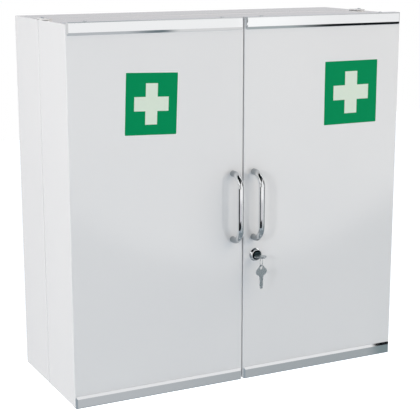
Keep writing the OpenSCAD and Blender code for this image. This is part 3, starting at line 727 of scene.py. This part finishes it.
def grooved(name, node, eye, lie):
    """A key with bevelled edges and a milled groove on both faces."""
    key = softened(name, node, key_edge, nickel)
    for face in (-1, 1):
        groove = []
        for x in (-groove_half, groove_half):
            inside = face * (key_t / 2 - groove_deep)
            outside = face * (key_t / 2 + groove_clear)
            wide = x * groove_flare
            groove.append([(x, groove_from, inside), (x, groove_to, inside),
                           (wide, groove_to - run_out, outside), (wide, groove_from + run_in, outside)])
        cutter = loft("groove", groove)
        cutter.transform(Matrix.Translation(eye) @ lie)
        carve(key, link("groove", cutter))
    key.data.materials.clear()
    key.data.materials.append(nickel)
    return key


settle(grooved("worn_key", "key", key_eye, Matrix.Rotation(math.pi, 4, "X")),
       "key", "nickel_steel", "key")
upright = Matrix.Rotation(spare_yaw, 4, "Z") @ Matrix.Rotation(math.pi / 2, 4, "X")
settle(grooved("worn_spare_key", "spare_key", spare_eye, upright),
       "spare_key", "nickel_steel", "spare_key")

strand_d, turns_wound, lay = 0.49 * wire_d, 1.94, 1.04
coil, given = rule_group("coil", [("Radius", "NodeSocketFloat"), ("Wire", "NodeSocketFloat"),
                                  ("Finish", "NodeSocketMaterial")])
rise = add(coil, "ShaderNodeMath", {0: given["Wire"], 1: lay}, operation="MULTIPLY")
helix = add(coil, "GeometryNodeCurveSpiral", {
    "Resolution": 72, "Rotations": turns_wound, "Start Radius": given["Radius"],
    "End Radius": given["Radius"], "Height": rise.outputs[0],
})
half = add(coil, "ShaderNodeMath", {0: given["Wire"], 1: 0.5}, operation="MULTIPLY")
wire = add(coil, "GeometryNodeCurvePrimitiveCircle", {"Resolution": 16, "Radius": half.outputs[0]})
wound = add(coil, "GeometryNodeCurveToMesh", {
    "Curve": helix.outputs[0], "Profile Curve": wire.outputs[0], "Fill Caps": True,
})
close_rule(coil, wound.outputs[0], given["Finish"])
split_ring = follow("split_ring", places("centre", [((0, 0, 0), (0, 0, 0))]), coil,
                    {"Radius": ring_r, "Wire": strand_d, "Finish": nickel})
ring_lie = (Matrix.Translation(ring_eye) @ Matrix.Rotation(math.pi / 2 - ring_turn, 4, "Z")
            @ Matrix.Rotation(math.pi / 2, 4, "X")
            @ Matrix.Translation((0, 0, -strand_d * lay / 2)))
split_ring.data.transform(ring_lie)
split_ring.data.shade_smooth()
settle(split_ring, "key_ring", "nickel_steel", "key_ring")


# ------------------------------------------------------------------ signs
# Two square first-aid signs, cut from green vinyl on a pale carrier film with a
# cross let in, and stuck on by hand: the left one sits a little askew.
def film_finish(name, darker, lighter, roughness, specular=0.5):
    made, tree = finish_named(name)
    film = add(tree, "ShaderNodeBsdfPrincipled", {
        "Base Color": blend_colour(tree, speckle(tree, scale=120.0, detail=3.0), darker, lighter),
        "Roughness": roughness, "Specular IOR Level": specular,
    })
    close_finish(tree, film)
    return made


vinyl = film_finish("green_vinyl", (0.0, 0.285, 0.100, 1), (0.0, 0.303, 0.110, 1),
                    roughness=0.50, specular=0.06)
pale_vinyl = film_finish("pale_vinyl", (0.785, 0.895, 0.765, 1), (0.810, 0.915, 0.790, 1),
                         roughness=0.55, specular=0.12)
carrier = film_finish("carrier_film", (0.88, 0.89, 0.89, 1), (0.91, 0.91, 0.91, 1), roughness=0.30)
film_t, film_sunk, wide_margin, slim_margin = 0.0001, 0.0001, 0.0022, 0.0004
carrier_corner, green_corner = 0.003, 0.0015
cross_span, cross_arm = 0.665, 0.23


def square(width, height, corner):
    """The outline of a sheet with rounded corners."""
    x, z = width / 2 - corner, height / 2 - corner
    return (arc((x, z), corner, 0, 90) + arc((-x, z), corner, 90, 180)
            + arc((-x, -z), corner, 180, 270) + arc((x, -z), corner, 270, 360))


for side, centre, tilt, (width, height), margin in (
    ("left", (-0.1892, 0.2030), 2.2, (0.102, 0.1125), wide_margin),
    ("right", (0.2385, 0.2008), 0.0, (0.121, 0.1235), slim_margin),
):
    sheet_under = square(width + 2 * margin, height + 2 * margin, carrier_corner)
    cross = [(x * width, z * height) for x, z in plus(cross_span, cross_arm)]
    layers = (
        ("carrier", sheet_under, carrier, 1),
        ("green", square(width, height, green_corner), vinyl, 2),
        ("cross", cross, pale_vinyl, 3),
    )
    lie = (Matrix.Translation((centre[0], door_face, centre[1]))
           @ Matrix.Rotation(math.radians(tilt), 4, "Y"))
    for label, outline, finish, layer in layers:
        skin = loft(label, [[(x, y, z) for x, z in outline] for y in (film_sunk, -layer * film_t)])
        skin.transform(lie)
        skin.materials.append(finish)
        settle(link(f"{side}_sign_{label}", skin), f"{side}_door", "painted_steel")
